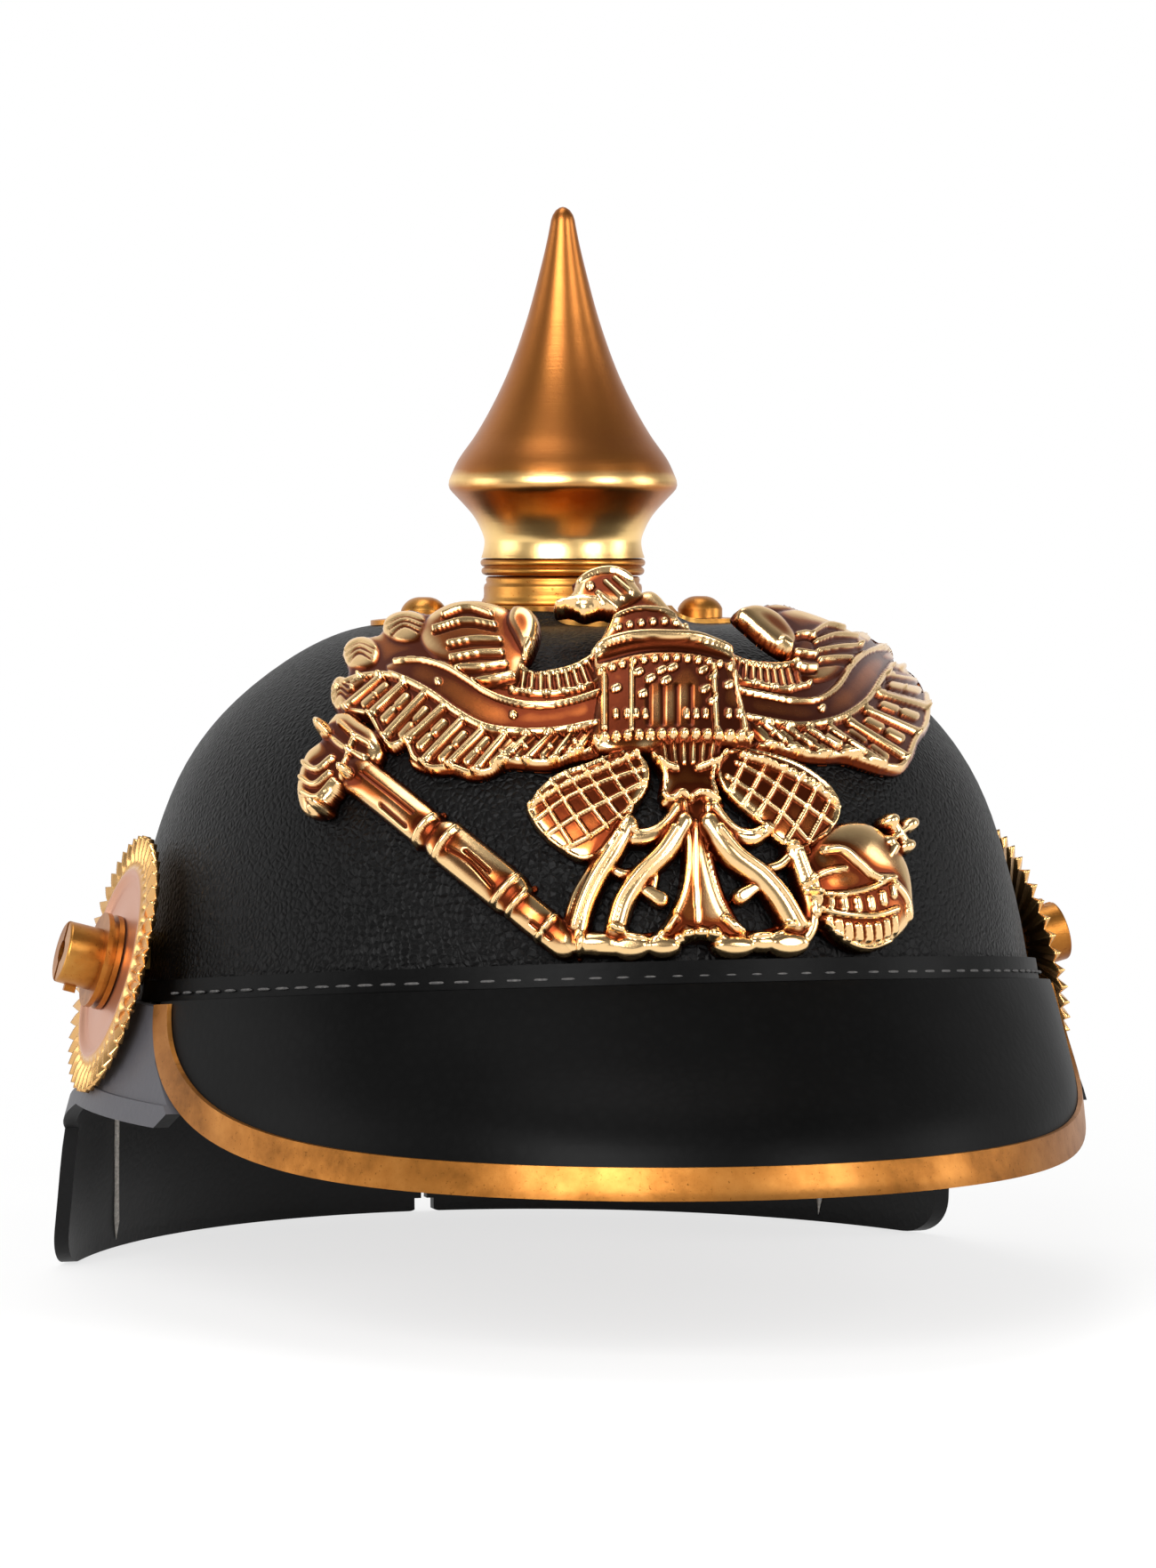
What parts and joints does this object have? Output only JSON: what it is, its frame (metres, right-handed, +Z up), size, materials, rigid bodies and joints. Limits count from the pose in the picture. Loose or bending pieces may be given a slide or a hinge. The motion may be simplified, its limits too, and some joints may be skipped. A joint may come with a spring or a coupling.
{
  "type": "spiked leather helmet",
  "caption": "Black leather helmet with a brass spike, stamped eagle front plate, side discs, trimmed front visor and flared neck guard.",
  "frame": {"origin": "on the spike's axis, level with the lowest edge of the neck guard", "axes": "+Z up along the spike, the wearer faces -Y, +X is the wearer's left"},
  "size_m": [0.224, 0.2727, 0.2286],
  "materials": {
    "grained_leather": "black, fine grain, satin",
    "lacquered_leather": "black, lacquered smooth",
    "liner_leather": "tan, undyed, matt",
    "spike_brass": "aged, satin",
    "trim_brass": "aged, satin",
    "plain_brass": "dull",
    "plate_brass": "stamped, polished, with dark recesses",
    "disc_copper": "rose coloured disc with a gold rim, polished",
    "steel": "dull"
  },
  "bodies": {
    "helmet": {"cockade_pad_left": "plain_brass", "cockade_pad_right": "plain_brass", "cross_plate": "spike_brass", "crown_stud_front": "spike_brass", "crown_stud_left": "spike_brass", "crown_stud_nuts": "plain_brass", "crown_stud_rear": "spike_brass", "crown_stud_right": "spike_brass", "front_plate": "plate_brass", "front_visor": "lacquered_leather", "liner_tongues": "liner_leather", "loop_keys": "liner_leather", "neck_guard": "lacquered_leather", "plate_loops": "plain_brass", "post_collar_left": "spike_brass", "post_collar_right": "spike_brass", "post_nut_left": "steel", "post_nut_right": "steel", "rear_spine": "trim_brass", "seam_band": "lacquered_leather", "side_post_left": "spike_brass", "side_post_right": "spike_brass", "skull": "grained_leather", "spike_collar": "spike_brass", "spike_nut": "steel", "spike_stud": "steel", "spike_washer": "liner_leather", "spine_screws": "trim_brass", "sweatband": "liner_leather", "vent_housing": "trim_brass", "visor_trim": "trim_brass"},
    "spike_ring": {"spike_ring": "spike_brass"},
    "spike": {"spike_hub": "plain_brass", "spike_shell": "spike_brass"},
    "cockade_left": {"cockade_left": "disc_copper"},
    "cockade_right": {"cockade_right": "disc_copper"},
    "vent_slide": {"vent_slide": "trim_brass"}
  },
  "joints": [
    {"name": "spike_lift", "type": "slide", "parent": "helmet", "child": "spike_ring", "axis": [0, 0, 1], "range_m": [0, 0.00625]},
    {"name": "spike_turn", "type": "hinge", "parent": "spike_ring", "child": "spike", "pos_m": [0, 0, 0.15], "axis": [0, 0, 1], "range_deg": [0, 1800]},
    {"name": "cockade_left_spin", "type": "hinge", "parent": "helmet", "child": "cockade_left", "pos_m": [0.0985, -0.008, 0.0695], "axis": [0.9659, 0, 0.2588], "continuous": true},
    {"name": "cockade_right_spin", "type": "hinge", "parent": "helmet", "child": "cockade_right", "pos_m": [-0.0985, -0.008, 0.0695], "axis": [-0.9659, 0, 0.2588], "continuous": true},
    {"name": "vent_slide_move", "type": "slide", "parent": "helmet", "child": "vent_slide", "axis": [0, -0.4453, 0.8954], "range_m": [0, 0.012]}
  ],
  "couplings": [
    {"joint": "spike_turn", "follows": "spike_lift", "rad_per_m": 5026.5}
  ]
}
